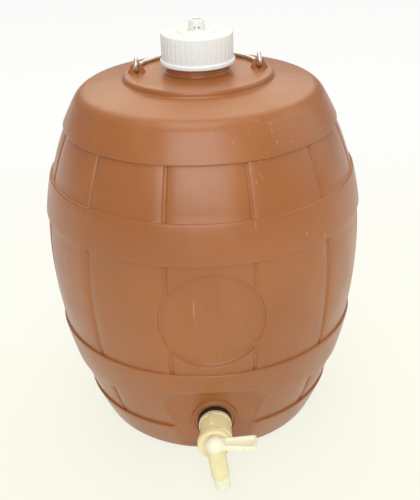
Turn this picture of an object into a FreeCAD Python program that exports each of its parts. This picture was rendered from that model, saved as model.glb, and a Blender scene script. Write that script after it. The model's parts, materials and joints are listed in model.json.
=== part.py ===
import FreeCAD, Part
import math
import os

# A pressure barrel for home brewing: a blow moulded plastic barrel with hoops and
# staves, a screw cap with a gas valve, a wire bail and a lever tap.
# Millimetres. The axis of the barrel is Z, the floor is z = 0 and the tap points to -Y.

V = FreeCAD.Vector
X = V(1, 0, 0)
Y = V(0, 1, 0)
Z = V(0, 0, 1)

# Barrel form
belly_radius = 165.5
belly_height = 212.0
top_narrowing = 51.8
foot_narrowing = 49.35
wall = 4.0
hoop_proud = 2.5
hoop_edge = 1.8
base_hoop_top = 43.0
lower_hoop = (82.5, 127.0)
middle_hoop = (250.0, 290.0)
shoulder_drop = 42.0
dome_height = 380.5
dome_slope = 9.5
dome_start_radius = 75.0
shoulder_round = 18.0
foot_round = 9.0
foot_width = 19.15
foot_ramp = 13.0
push_up_height = 9.0
inner_flat = 30.0

# Staves
stave_count = 12
groove_width = 3.6
groove_depth = 1.8

# Medallion at the front, left blank
medallion_height = 189.0
medallion_radius = 52.5
medallion_depth = 1.6
medallion_step = 2.5
medallion_step_depth = 2.5

# Tap pocket and seat
pocket_top = 100.0
pocket_bottom = 6.0
pocket_top_half = 50.0
pocket_bottom_half = 27.0
pocket_corner = 12.0
pocket_sink = 24.5
pocket_tilt = 9.8
pocket_round = 3.5
seat_radius = 23.3
seat_sink = 26.5
seat_wall = 5.0
spot_face_radius = 21.0
tap_height = 57.0
tap_hole_radius = 13.0

# Neck pad, neck and bail ears
pad_radius = 75.5
pad_rise = 6.0
pad_round = 2.4
neck_radius = 32.6
neck_bore = 26.5
neck_height = 33.0
ear_position = 61.3
ear_base_half = 10.0
ear_top_half = 4.2
ear_height = 9.7
ear_thickness = 5.0
ear_round = 2.0
ear_hole_radius = 3.3
ear_hole_rise = 3.2

# Wire bail
wire_radius = 2.1
bail_pivot_rise = 7.9
hook_radius = 5.5
hook_sweep = 205.0
bail_side_radius = 50.0
bail_side_angle = 45.0
bail_arm = 4.0

# Screw cap and its seal
cap_height = 30.0
cap_radius = 35.6
cap_skirt = 2.3
cap_flange_radius = 37.4
cap_flange_height = 4.0
cap_lid = 3.0
cap_round = 1.6
cap_rib_count = 40
cap_rib_width = 1.3
cap_rib_proud = 0.5
cap_boss_radius = 19.5
cap_boss_height = 1.5
seal_width = 5.8
seal_edge_gap = 0.3
seal_thickness = 2.5

# Gas valve in the cap
post_radius = 8.0
post_height = 9.0
post_round = 1.0
stem_radius = 5.5
stem_length = 28.0
stem_gap = 0.2
valve_washer_radius = 9.2
valve_washer_thickness = 1.5
valve_nut_across = 17.0
valve_nut_height = 6.0
socket_radius = 4.6
socket_depth = 6.0
gas_bore = 1.5
vent_radius = 0.9
vent_height = 1.8
vent_spacing = 4.0
cross_hole_radius = 1.0
cross_hole_drop = 21.0
sleeve_length = 12.0
sleeve_wall = 1.6
pin_radius = 1.3
pin_bore = 0.5
pin_rise = 4.5
pin_foot = 5.0
pin_seal_thickness = 1.6

# Tap body
tap_flange_radius = 16.8
tap_flange_length = 5.0
shank_radius = 16.1
shank_length = 25.0
nose_radius = 17.0
nose_length = 10.0
nose_shift = -2.5
nose_round = 3.0
link_radius = 7.8
tail_radius = 12.6
tail_length = 26.0
tap_bore = 6.5
rib_width = 5.0
rib_rise = 1.3
rib_length = 20.0
rib_turn = 15.0
tap_washer_radius = 17.6
tap_washer_thickness = 6.0
inner_washer_radius = 19.5
inner_washer_thickness = 3.0
back_nut_across = 33.0
back_nut_thickness = 8.0
thread_gap = 0.15

# Cock: sleeve on the body, turning plug with its spout, and lever
cock_lean = 7.0
cock_shift = -1.0
cock_reach = 53.5
cock_sleeve_radius = 9.2
cock_sleeve_up = 8.0
cock_sleeve_down = 26.0
plug_radius = 6.2
plug_gap = 0.08
plug_float = 0.25
plug_bore = 4.2
plug_bore_top = 4.6
port_radius = 3.6
spout_radius = 8.2
spout_length = 17.0
spout_round = 1.2
ring_section = 0.65
ring_places = (6.5, -8.0)
drive_square = 7.0
drive_height = 6.0
closed_turn = 80.0
lever_swing = -10.0
lever_hub_radius = 9.1
lever_hub_height = 7.0
lever_dome = 5.6
lever_reach = 41.0
lever_root_width = 10.5
lever_end_width = 19.0
lever_thickness = 6.0
lever_rise = 1.3
lever_corner = 4.0
tray_rim = 1.7
tray_depth = 2.2

# Worked out from the sizes above
top_rise = dome_height - belly_height
upper_curve = (top_rise ** 2 + top_narrowing ** 2) / (2 * top_narrowing)
lower_curve = (belly_height ** 2 + foot_narrowing ** 2) / (2 * foot_narrowing)
shoulder_bottom = dome_height - shoulder_drop
foot_inner_radius = belly_radius - foot_narrowing - foot_width
push_up_radius = foot_inner_radius - foot_ramp
pocket_face_depth = belly_radius - pocket_sink
pocket_plane_low = pocket_face_depth - pocket_top * math.tan(math.radians(pocket_tilt))
seat_face = belly_radius - seat_sink
seat_inner = seat_face - seat_wall
tap_front_seat = seat_face + tap_washer_thickness
shank_start = tap_front_seat + tap_flange_length
shank_end = tap_front_seat + shank_length
nose_end = shank_end + nose_length
pad_top = dome_height + pad_rise
neck_top = pad_top + neck_height
ear_top = pad_top + ear_height
ear_hole_height = pad_top + ear_hole_rise
bail_pivot_height = pad_top + bail_pivot_rise
cap_inner_radius = cap_radius - cap_skirt
cap_ceiling = neck_top + seal_thickness
cap_top = cap_ceiling + cap_lid
cap_bottom = cap_top - cap_height
boss_top = cap_top + cap_boss_height
post_base = boss_top + valve_washer_thickness
post_top = post_base + post_height
socket_floor = post_top - socket_depth
cock_distance = seat_face + cock_reach
cock_origin = V(cock_shift, -cock_distance, tap_height)
ring_centre = plug_radius - ring_section - 0.05


def belly(z, grow):
    """Radius of the barrel's side at height z."""
    curve = upper_curve if z > belly_height else lower_curve
    drop = curve - math.sqrt(curve ** 2 - (z - belly_height) ** 2)
    return belly_radius - drop + grow


def ring_edges(shape, radius, z, reach=1.5):
    """Round edges about the axis near one radius and height."""
    found = []
    for edge in shape.Edges:
        if not isinstance(edge.Curve, Part.Circle):
            continue
        near_z = abs(edge.Curve.Center.z - z) < reach
        near_r = abs(edge.Curve.Radius - radius) < reach
        if near_z and near_r and edge.Length > 10:
            found.append(edge)
    return found


def cylinder(radius, start, direction, length):
    return Part.makeCylinder(radius, length, start, direction)


def tube(outer, inner, start, direction, length):
    return cylinder(outer, start, direction, length).cut(
        cylinder(inner, start - direction, direction, length + 2)
    )


def hexagon(across, start, direction, length):
    """Hexagonal prism that stands on start along direction."""
    corner = across / math.sqrt(3)
    points = []
    for k in range(7):
        turn = math.radians(60 * k)
        points.append(V(corner * math.cos(turn), corner * math.sin(turn), 0))
    prism = Part.Face(Part.makePolygon(points)).extrude(Z * length)
    prism.Placement = FreeCAD.Placement(start, FreeCAD.Rotation(Z, direction))
    return prism


def hollow(solid, radius, start, direction, length):
    return solid.cut(cylinder(radius, start - direction, direction, length + 2))


def dome_level(radius, grow):
    """Height of the dome above the shoulder at one radius."""
    fall = (radius - dome_start_radius) * math.tan(math.radians(dome_slope))
    return dome_height - fall + grow - hoop_proud


def rounding(grow, radius, level, slope, side):
    """Arc that rounds the corner between the side and a line: its two ends and its middle.

    level gives the line's height at a radius, and side is 1 for a line above and -1 for one below."""
    lean_back = math.radians(slope)
    z = level(belly_radius)
    for _ in range(60):
        curve = upper_curve if z > belly_height else lower_curve
        hub = V(belly_radius - curve + grow, 0, belly_height)
        x = hub.x + math.sqrt((curve - radius) ** 2 - (z - hub.z) ** 2)
        z = level(x) - side * radius / math.cos(lean_back)
    centre = V(x, 0, z)
    outward = (centre - hub).normalize()
    onto_line = V(math.sin(lean_back), 0, side * math.cos(lean_back))
    middle = (outward + onto_line).normalize()
    return centre + outward * radius, centre + middle * radius, centre + onto_line * radius


def side_edges(grow, start, end):
    """The barrel's side between two of its points: arcs outside, flats on them inside."""
    if grow < 0:
        count = max(1, round((end.z - start.z) / inner_flat))
        levels = [start.z + (end.z - start.z) * k / count for k in range(1, count)]
        points = [start] + [V(belly(z, grow), 0, z) for z in levels] + [end]
        return [Part.makeLine(p, q) for p, q in zip(points, points[1:])]
    stops = [start, end]
    if start.z < belly_height < end.z:
        stops = [start, V(belly_radius + grow, 0, belly_height), end]
    arcs = []
    for low, high in zip(stops, stops[1:]):
        middle = (low.z + high.z) / 2
        arcs.append(Part.Arc(low, V(belly(middle, grow), 0, middle), high).toShape())
    return arcs


def corner_edges(start, middle, end, smooth):
    """A rounded corner as one arc, or as two flats on it."""
    if smooth:
        return [Part.Arc(start, middle, end).toShape()]
    return [Part.makeLine(start, middle), Part.makeLine(middle, end)]


def barrel_form(grow, low=None, high=None):
    """Solid barrel, grown or shrunk from the surface of the staves, whole or between two heights."""
    inset = hoop_proud - grow
    outside = grow > 0
    foot = inset if low is None else low
    foot_edge = max(foot_round - inset / 2, 3) if low is None else hoop_edge
    foot_end, under_middle, under = rounding(grow, foot_edge, lambda x: foot, 0, -1)
    if high is None:
        def crown(x):
            return dome_level(x, grow)

        over, over_middle, top_end = rounding(grow, shoulder_round, crown, dome_slope, 1)
        crown_in = V(dome_start_radius, 0, dome_level(dome_start_radius, grow))
        top = [top_end, crown_in, V(0, 0, crown_in.z)]
    else:
        over, over_middle, top_end = rounding(grow, hoop_edge, lambda x: high, 0, 1)
        top = [top_end, V(0, 0, high)]
    if low is None:
        rise = push_up_height + inset
        ramp = [V(push_up_radius + inset, 0, rise), V(foot_inner_radius + inset, 0, foot)]
        bottom = [V(0, 0, rise)] + ramp + [under]
    else:
        bottom = [V(0, 0, foot), under]
    edges = corner_edges(under, under_middle, foot_end, outside and low is None)
    edges += side_edges(grow, foot_end, over)
    edges += corner_edges(over, over_middle, top_end, outside and high is None)
    chain = top + bottom
    edges += [Part.makeLine(p, q) for p, q in zip(chain, chain[1:])]
    return Part.Face(Part.Wire(edges)).revolve(V(0, 0, 0), Z, 360)


def hoop_bands(grow, shrink):
    """The base, the two hoops and the shoulder, which stand proud of the staves."""
    return [
        barrel_form(grow, None, base_hoop_top - shrink),
        barrel_form(grow, lower_hoop[0] + shrink, lower_hoop[1] - shrink),
        barrel_form(grow, middle_hoop[0] + shrink, middle_hoop[1] - shrink),
        barrel_form(grow, shoulder_bottom + shrink, None),
    ]


def pocket_tool(grow):
    """Scoop for the tap: a tapered outline sunk to a leaning face."""
    half_top = pocket_top_half + grow
    half_bottom = pocket_bottom_half + grow
    top = pocket_top + grow
    bottom = pocket_bottom - 3 * grow
    front = -(belly_radius + 20)
    points = [
        V(-half_bottom, front, bottom),
        V(half_bottom, front, bottom),
        V(half_top, front, top),
        V(-half_top, front, top),
    ]
    prism = Part.Face(Part.makePolygon(points + [points[0]])).extrude(Y * belly_radius)
    upper = []
    for edge in prism.Edges:
        along_y = abs(edge.tangentAt(edge.FirstParameter).y) > 0.9
        if along_y and edge.CenterOfMass.z > top - 1:
            upper.append(edge)
    prism = prism.makeFillet(pocket_corner + grow, upper)
    lean = math.radians(pocket_tilt)
    behind = Part.makeBox(400, 200, 400, V(-200, 0, -200))
    behind.rotate(V(0, 0, 0), X, pocket_tilt)
    behind.translate(V(0, -pocket_plane_low + grow / math.cos(lean), 0))
    scoop = prism.cut(behind)
    inner = []
    for edge in scoop.Edges:
        box = edge.BoundBox
        plane_y = -pocket_plane_low + grow / math.cos(lean) - edge.CenterOfMass.z * math.tan(lean)
        if abs(edge.CenterOfMass.y - plane_y) < 1.5 and box.YLength < 20:
            inner.append(edge)
    return scoop.makeFillet(pocket_round, inner)


def staves():
    """Barrel body with the grooves between its staves."""
    body = barrel_form(0)
    core = barrel_form(-groove_depth)
    inside = belly_radius / 2
    slabs = []
    for k in range(stave_count):
        slab = Part.makeBox(inside + 10, groove_width, pad_top, V(inside, -groove_width / 2, 20))
        slab.rotate(V(0, 0, 0), Z, 360 / stave_count * k + 180 / stave_count + 90)
        slabs.append(slab)
    body = body.cut(slabs).fuse(core)
    for radius, depth in (
        (medallion_radius, medallion_depth),
        (medallion_radius - medallion_step, medallion_step_depth),
    ):
        disc = cylinder(radius, V(0, -belly_radius - 20, medallion_height), Y, belly_radius)
        body = body.cut(disc.cut(barrel_form(-depth)))
    return body


def ear(side):
    """One ear for the bail, with a hole through it from front to back."""
    centre = side * ear_position
    foot = pad_top - 1
    points = [
        V(centre - ear_base_half, -ear_thickness / 2, foot),
        V(centre + ear_base_half, -ear_thickness / 2, foot),
        V(centre + ear_top_half, -ear_thickness / 2, ear_top),
        V(centre - ear_top_half, -ear_thickness / 2, ear_top),
    ]
    plate = Part.Face(Part.makePolygon(points + [points[0]])).extrude(Y * ear_thickness)
    upper = []
    for edge in plate.Edges:
        along_y = abs(edge.tangentAt(edge.FirstParameter).y) > 0.9
        if along_y and edge.CenterOfMass.z > ear_top - 1:
            upper.append(edge)
    plate = plate.makeFillet(ear_round, upper)
    eye = V(centre, -ear_thickness, ear_hole_height)
    return plate.cut(cylinder(ear_hole_radius, eye, Y, 2 * ear_thickness))


def barrel_void():
    """The room inside: a wall's thickness within the hoops, the staves and the tap pocket."""
    void = barrel_form(-wall).fuse(hoop_bands(hoop_proud - wall, wall))
    void = void.cut(pocket_tool(wall))
    spot = cylinder(spot_face_radius, V(0, -seat_inner, tap_height), Y, 30)
    return void.fuse(spot)


def moulding(void):
    """The blow moulding from the foot up to the pad."""
    outer = staves().fuse(hoop_bands(hoop_proud, 0))
    outer = outer.cut(pocket_tool(0))
    outer = outer.fuse(cylinder(seat_radius, V(0, -seat_face, tap_height), Y, 20))
    crown = cylinder(pad_radius, V(0, 0, dome_height - 20), Z, 40)
    shell = outer.cut([void, crown])
    return hollow(shell, tap_hole_radius, V(0, -seat_face, tap_height), Y, seat_wall)


def barrel_shell(shell):
    """The moulding above the lower hoop's top edge."""
    below = cylinder(2 * belly_radius, V(0, 0, -10), Z, lower_hoop[1] + 10)
    return shell.cut(below).removeSplitter()


def barrel_base(shell):
    """The foot of the same moulding, up to the lower hoop's top edge."""
    below = cylinder(2 * belly_radius, V(0, 0, -10), Z, lower_hoop[1] + 10)
    return shell.common(below).removeSplitter()


def neck_pad(void):
    """The top of the same moulding: the raised pad with the neck and the bail's ears."""
    pad = cylinder(pad_radius, V(0, 0, dome_height - 12), Z, pad_top - dome_height + 12)
    pad = pad.makeChamfer(pad_round, ring_edges(pad, pad_radius, pad_top))
    neck = cylinder(neck_radius, V(0, 0, pad_top - 5), Z, neck_top - pad_top + 5)
    pad = pad.fuse([neck, ear(-1), ear(1)])
    under = cylinder(pad_radius - 2 * wall, V(0, 0, dome_height - 20), Z, pad_top - wall - dome_height + 20)
    pad = pad.cut([void, under])
    return hollow(pad, neck_bore, V(0, 0, pad_top - 15), Z, neck_top - pad_top + 15).removeSplitter()


def bail_path(side):
    """Centre line of half the bail as edges, from the middle of the bow to the hook's end."""
    turn = math.radians(bail_side_angle)
    level = bail_pivot_height - hook_radius
    side_centre = ear_position - bail_side_radius
    crown_centre = bail_arm - side_centre * math.tan(turn)
    crown_radius = bail_side_radius + side_centre / math.cos(turn)

    def at(centre_x, centre_y, radius, angle):
        return V(
            side * (centre_x + radius * math.cos(angle)),
            centre_y + radius * math.sin(angle),
            level,
        )

    crown = V(0, crown_centre + crown_radius, level)
    joint = at(side_centre, bail_arm, bail_side_radius, turn)
    arm = at(side_centre, bail_arm, bail_side_radius, 0)
    hook_start = V(side * ear_position, 0, level)

    def hook(angle):
        return V(
            side * ear_position,
            -hook_radius * math.sin(math.radians(angle)),
            bail_pivot_height - hook_radius * math.cos(math.radians(angle)),
        )

    return [
        Part.Arc(crown, at(0, crown_centre, crown_radius, (turn + math.pi / 2) / 2), joint).toShape(),
        Part.Arc(joint, at(side_centre, bail_arm, bail_side_radius, turn / 2), arm).toShape(),
        Part.makeLine(arm, hook_start),
        Part.Arc(hook_start, hook(hook_sweep / 2), hook(hook_sweep)).toShape(),
    ]


def wire_length(edge):
    """Round wire along one edge of its centre line."""
    start = edge.valueAt(edge.FirstParameter)
    along = edge.tangentAt(edge.FirstParameter)
    section = Part.Face(Part.Wire(Part.makeCircle(wire_radius, start, along)))
    if isinstance(edge.Curve, Part.Line):
        return section.extrude(along * edge.Length)
    sweep = math.degrees(edge.Length / edge.Curve.Radius)
    around = (start - edge.Curve.Center).cross(along)
    return section.revolve(edge.Curve.Center, around, sweep)


def bail_handle():
    """One bent wire that hooks round the bar above each ear's hole."""
    lengths = [wire_length(edge) for side in (-1, 1) for edge in bail_path(side)]
    return lengths[0].fuse(lengths[1:]).removeSplitter()


def screw_cap():
    """Cap with a skirt, a flange at its foot, grip ribs and a boss for the valve."""
    cap = cylinder(cap_radius, V(0, 0, cap_bottom), Z, cap_top - cap_bottom)
    cap = cap.makeFillet(cap_round, ring_edges(cap, cap_radius, cap_top))
    rib_height = cap_top - cap_bottom - cap_round - 1
    ribs = []
    for k in range(cap_rib_count):
        rib = Part.makeBox(
            cap_rib_proud + 1, cap_rib_width, rib_height,
            V(cap_radius - 1, -cap_rib_width / 2, cap_bottom + 0.5),
        )
        rib.rotate(V(0, 0, 0), Z, 360 / cap_rib_count * k)
        ribs.append(rib)
    flange = cylinder(cap_flange_radius, V(0, 0, cap_bottom), Z, cap_flange_height)
    flange = flange.makeChamfer(0.8, ring_edges(flange, cap_flange_radius, cap_bottom + cap_flange_height))
    boss = cylinder(cap_boss_radius, V(0, 0, cap_top - 1), Z, cap_boss_height + 1)
    cap = cap.fuse(ribs + [flange, boss])
    cap = cap.cut(cylinder(cap_inner_radius, V(0, 0, cap_bottom - 1), Z, cap_ceiling - cap_bottom + 1))
    return hollow(cap, stem_radius + stem_gap, V(0, 0, cap_ceiling), Z, boss_top - cap_ceiling)


def cap_seal():
    outer = cap_inner_radius - seal_edge_gap
    return tube(outer, outer - seal_width, V(0, 0, neck_top), Z, seal_thickness)


def valve_body():
    """Post for the gas bulb holder and the stem below it."""
    post = cylinder(post_radius, V(0, 0, post_base), Z, post_height)
    post = post.makeChamfer(post_round, ring_edges(post, post_radius, post_top))
    body = post.fuse(cylinder(stem_radius, V(0, 0, post_base - stem_length), Z, stem_length + 1))
    body = body.cut(cylinder(socket_radius, V(0, 0, socket_floor), Z, socket_depth + 1))
    body = body.cut(cylinder(gas_bore, V(0, 0, post_base - stem_length - 1), Z, stem_length + post_height))
    for side in (-1, 1):
        start = V(side * vent_spacing / 2, -post_radius - 1, post_base + vent_height)
        body = body.cut(cylinder(vent_radius, start, Y, post_radius + 1))
    level = post_base - cross_hole_drop
    cross = cylinder(cross_hole_radius, V(-stem_radius - 1, 0, level), X, 2 * stem_radius + 2)
    return body.cut(cross)


def valve_washer():
    return tube(valve_washer_radius, stem_radius + stem_gap, V(0, 0, boss_top), Z, valve_washer_thickness)


def nut_washer():
    start = V(0, 0, cap_ceiling - valve_washer_thickness)
    return tube(valve_washer_radius, stem_radius + stem_gap, start, Z, valve_washer_thickness)


def valve_nut():
    start = V(0, 0, cap_ceiling - valve_washer_thickness - valve_nut_height)
    nut = hexagon(valve_nut_across, start, Z, valve_nut_height)
    return hollow(nut, stem_radius + thread_gap, start, Z, valve_nut_height)


def relief_sleeve():
    """Rubber band over the cross hole: gas gets out and beer stays out."""
    start = V(0, 0, post_base - cross_hole_drop - sleeve_length / 2)
    return tube(stem_radius + sleeve_wall, stem_radius, start, Z, sleeve_length)


def injector_pin():
    """Hollow needle that opens the gas bulb."""
    pin = cylinder(gas_bore, V(0, 0, socket_floor - pin_foot), Z, pin_foot)
    point = Part.makeCone(pin_radius, pin_radius * 0.45, pin_rise, V(0, 0, socket_floor), Z)
    return hollow(pin.fuse(point), pin_bore, V(0, 0, socket_floor - pin_foot), Z, pin_foot + pin_rise)


def pin_seal():
    inner = gas_bore + 0.5
    return tube(socket_radius, inner, V(0, 0, socket_floor), Z, pin_seal_thickness)


def lean(shape):
    """Set a shape that was made upright about Z onto the leaning axis of the cock."""
    shape.rotate(V(0, 0, 0), Y, -cock_lean)
    shape.translate(cock_origin)
    return shape


def tap_body():
    """One moulding: threaded tail, shank, nose and the upright sleeve of the cock."""
    front = -Y
    tail_start = V(0, -tap_front_seat + tail_length, tap_height)
    body = cylinder(tail_radius, tail_start, front, tail_length + 1)
    flange = cylinder(tap_flange_radius, V(0, -tap_front_seat, tap_height), front, tap_flange_length)
    body = body.fuse(flange)
    shank = cylinder(shank_radius, V(0, -tap_front_seat - 1, tap_height), front, shank_length)
    body = body.fuse(shank)
    nose = cylinder(nose_radius, V(nose_shift, -shank_end, tap_height), front, nose_length)
    rims = [e for e in nose.Edges if isinstance(e.Curve, Part.Circle)]
    body = body.fuse(nose.makeFillet(nose_round, rims))
    link_start = V(cock_shift / 2, -nose_end + 1, tap_height)
    body = body.fuse(cylinder(link_radius, link_start, front, cock_distance - nose_end + 1))
    rib = Part.makeBox(rib_width, rib_length, rib_rise + 2, V(-rib_width / 2, 0, shank_radius - 2))
    rib.rotate(V(0, 0, 0), Y, -rib_turn)
    rib.translate(V(0, -tap_front_seat - rib_length, tap_height))
    body = body.fuse(rib)
    sleeve = cylinder(cock_sleeve_radius, V(0, 0, -cock_sleeve_down), Z, cock_sleeve_up + cock_sleeve_down)
    body = body.fuse(lean(sleeve))
    bore = cylinder(plug_radius, V(0, 0, -cock_sleeve_down - 1), Z, cock_sleeve_up + cock_sleeve_down + 2)
    body = body.cut(lean(bore))
    way = cylinder(tap_bore, tail_start + Y, front, tail_length + nose_end - tap_front_seat - 2)
    body = body.cut(way)
    start = V(cock_shift / 2, -nose_end + 3, tap_height)
    return body.cut(cylinder(port_radius, start, front, cock_distance - nose_end + 3))


def tap_outer_washer():
    start = V(0, -seat_face, tap_height)
    return tube(tap_washer_radius, tail_radius + thread_gap, start, -Y, tap_washer_thickness)


def tap_inner_washer():
    start = V(0, -seat_inner, tap_height)
    return tube(inner_washer_radius, tail_radius + thread_gap, start, Y, inner_washer_thickness)


def tap_back_nut():
    start = V(0, -seat_inner + inner_washer_thickness, tap_height)
    nut = hexagon(back_nut_across, start, Y, back_nut_thickness)
    return hollow(nut, tail_radius + thread_gap, start, Y, back_nut_thickness)


def tap_plug():
    """Turning plug with the port, two ring grooves, the square drive and the spout."""
    radius = plug_radius - plug_gap
    top = cock_sleeve_up + plug_float
    bottom = -cock_sleeve_down - plug_float
    plug = cylinder(radius, V(0, 0, bottom), Z, top - bottom)
    spout = cylinder(spout_radius, V(0, 0, bottom - spout_length), Z, spout_length)
    spout = spout.makeFillet(spout_round, ring_edges(spout, spout_radius, bottom - spout_length))
    plug = plug.fuse(spout)
    half = drive_square / 2
    plug = plug.fuse(Part.makeBox(drive_square, drive_square, drive_height, V(-half, -half, top)))
    start = V(0, 0, bottom - spout_length - 1)
    plug = plug.cut(cylinder(plug_bore, start, Z, plug_bore_top - start.z))
    port = cylinder(port_radius, V(0, 0, 0), Y, 2 * radius)
    port.rotate(V(0, 0, 0), Z, closed_turn)
    plug = plug.cut(port)
    for place in ring_places:
        groove = tube(2 * radius, radius - 2 * ring_section, V(0, 0, place - ring_section), Z, 2 * ring_section)
        plug = plug.cut(groove)
    return lean(plug)


def plug_ring(place):
    """Rubber ring in one groove of the plug."""
    outline = []
    for k in range(9):
        turn = math.radians(45 * k + 22.5)
        reach = (ring_section - 0.02) / math.cos(math.radians(22.5))
        outline.append(V(ring_centre + reach * math.cos(turn), 0, place + reach * math.sin(turn)))
    return lean(Part.Face(Part.makePolygon(outline)).revolve(V(0, 0, 0), Z, 360))


def tap_lever():
    """Domed hub with a tray shaped paddle."""
    base = cock_sleeve_up + plug_float
    dome_base = base + lever_hub_height
    hub = cylinder(lever_hub_radius, V(0, 0, base), Z, lever_hub_height)
    dome_curve = (lever_hub_radius ** 2 + lever_dome ** 2) / (2 * lever_dome)
    ball = Part.makeSphere(dome_curve, V(0, 0, dome_base + lever_dome - dome_curve))
    hub = hub.fuse(ball.common(cylinder(lever_hub_radius, V(0, 0, dome_base - 1), Z, lever_dome + 2)))
    low = base + lever_rise
    root = lever_root_width / 2
    end = lever_end_width / 2
    points = [V(0, -root, low), V(lever_reach, -end, low), V(lever_reach, end, low), V(0, root, low)]
    paddle = Part.Face(Part.makePolygon(points + [points[0]])).extrude(Z * lever_thickness)
    corners = [e for e in paddle.Edges if e.BoundBox.XMin > lever_reach - 1 and e.BoundBox.YLength < 1]
    paddle = paddle.makeFillet(lever_corner, corners)
    inner = []
    slope = (end - root) / lever_reach
    near = lever_hub_radius + 1
    far = lever_reach - tray_rim
    for x, side in ((near, -1), (far, -1), (far, 1), (near, 1)):
        inner.append(V(x, side * (root + slope * x - tray_rim), low + lever_thickness - tray_depth))
    tray = Part.Face(Part.makePolygon(inner + [inner[0]])).extrude(Z * lever_thickness)
    corners = [e for e in tray.Edges if e.BoundBox.XMin > lever_reach - tray_rim - 1 and e.BoundBox.YLength < 1]
    tray = tray.makeFillet(lever_corner - tray_rim, corners)
    lever = hub.fuse(paddle.cut(tray))
    lever.rotate(V(0, 0, 0), Z, lever_swing)
    half = drive_square / 2
    socket = Part.makeBox(drive_square, drive_square, drive_height + 1, V(-half, -half, base - 1))
    return lean(lever.cut(socket))


room = barrel_void()
shell = moulding(room)
nodes = {
    "barrel_shell": lambda: barrel_shell(shell),
    "barrel_base": lambda: barrel_base(shell),
    "neck_pad": lambda: neck_pad(room),
    "screw_cap": screw_cap,
    "cap_seal": cap_seal,
    "valve_body": valve_body,
    "valve_washer": valve_washer,
    "nut_washer": nut_washer,
    "valve_nut": valve_nut,
    "relief_sleeve": relief_sleeve,
    "injector_pin": injector_pin,
    "pin_seal": pin_seal,
    "bail_handle": bail_handle,
    "tap_body": tap_body,
    "tap_outer_washer": tap_outer_washer,
    "tap_inner_washer": tap_inner_washer,
    "tap_back_nut": tap_back_nut,
    "tap_plug": tap_plug,
    "tap_lever": tap_lever,
    "plug_ring_upper": lambda: plug_ring(ring_places[0]),
    "plug_ring_lower": lambda: plug_ring(ring_places[1]),
}

os.makedirs("parts", exist_ok=True)
for name, make in nodes.items():
    shape = make()
    solids = shape.Solids
    print(name, len(solids), "solid", round(shape.Volume / 1000, 2), "cm3", "valid", shape.isValid())
    shape = solids[0] if len(solids) == 1 else Part.makeCompound(solids)
    shape.exportStep("parts/" + name + ".step")
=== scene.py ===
import bpy
import json
import math
from mathutils import Matrix, Vector


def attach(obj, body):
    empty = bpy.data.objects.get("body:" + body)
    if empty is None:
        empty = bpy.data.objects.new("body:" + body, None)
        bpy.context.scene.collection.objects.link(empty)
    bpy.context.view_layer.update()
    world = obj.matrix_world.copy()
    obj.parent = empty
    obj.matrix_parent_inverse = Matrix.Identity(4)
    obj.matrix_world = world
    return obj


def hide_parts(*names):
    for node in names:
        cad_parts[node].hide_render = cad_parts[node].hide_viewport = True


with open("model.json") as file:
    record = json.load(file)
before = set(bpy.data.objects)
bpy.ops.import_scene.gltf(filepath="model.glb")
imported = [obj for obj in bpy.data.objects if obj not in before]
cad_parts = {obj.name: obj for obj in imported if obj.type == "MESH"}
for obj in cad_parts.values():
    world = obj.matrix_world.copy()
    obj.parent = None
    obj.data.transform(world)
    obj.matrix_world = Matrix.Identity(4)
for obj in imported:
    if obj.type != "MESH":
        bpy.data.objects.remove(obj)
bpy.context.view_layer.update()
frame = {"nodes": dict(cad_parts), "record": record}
mm = 0.001
lying = (math.radians(90), 0, 0)  # what is made about Z then points to the front
print("frame loaded")


def deselect():
    if bpy.context.mode != "OBJECT":
        bpy.ops.object.mode_set(mode="OBJECT")
    bpy.ops.object.select_all(action="DESELECT")


def pickOnly(piece):
    deselect()
    piece.select_set(True)
    bpy.context.view_layer.objects.active = piece


def drawPath(name, points):  # joined edges through points in mm, left open for editing
    deselect()
    bpy.ops.mesh.primitive_plane_add(size=mm, location=(0, 0, 0))
    piece = bpy.context.object
    piece.name = name
    bpy.ops.object.mode_set(mode="EDIT")
    bpy.ops.mesh.select_all(action="SELECT")
    bpy.ops.mesh.merge(type="CENTER")
    places = [Vector([value * mm for value in point]) for point in points]
    bpy.ops.transform.translate(value=places[0])
    for start, end in zip(places, places[1:]):
        bpy.ops.mesh.extrude_region_move(TRANSFORM_OT_translate={"value": end - start})
    bpy.ops.mesh.select_all(action="SELECT")
    bpy.ops.mesh.remove_doubles(threshold=1e-6)
    bpy.ops.mesh.select_all(action="SELECT")
    return piece


def drawProfile(name, points):  # a closed outline in the XZ plane, given as (radius, height)
    return drawPath(name, [(radius, 0, height) for radius, height in points + [points[0]]])


def faceOutwards():
    bpy.ops.mesh.select_all(action="SELECT")
    bpy.ops.mesh.normals_make_consistent(inside=False)
    bpy.ops.object.mode_set(mode="OBJECT")


def closeSpin():
    bpy.ops.mesh.select_all(action="SELECT")
    bpy.ops.mesh.remove_doubles(threshold=2e-6)
    bpy.ops.mesh.dissolve_degenerate(threshold=1e-7)
    faceOutwards()


def turned(name, points, steps=96):  # a turned or moulded round piece about Z
    piece = drawProfile(name, points)
    bpy.ops.mesh.spin(steps=steps, angle=-2 * math.pi, center=(0, 0, 0), axis=(0, 0, 1))
    closeSpin()
    return piece


def turnedColumns(name, points, angles):  # the same with columns at chosen angles, in degrees
    piece = drawProfile(name, points)
    for start, end in zip(angles, angles[1:] + [angles[0] + 360]):
        bpy.ops.mesh.spin(steps=1, angle=math.radians(start - end), center=(0, 0, 0), axis=(0, 0, 1))
    closeSpin()
    return setDown(piece, (0, 0, math.radians(angles[0])), (0, 0, 0))


def setDown(piece, turn, place):  # turns a piece and moves it by a place in mm, kept in its mesh
    pickOnly(piece)
    piece.rotation_euler = turn
    piece.location = [value * mm for value in place]
    bpy.ops.object.transform_apply(location=True, rotation=True, scale=True)
    return piece


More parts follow.
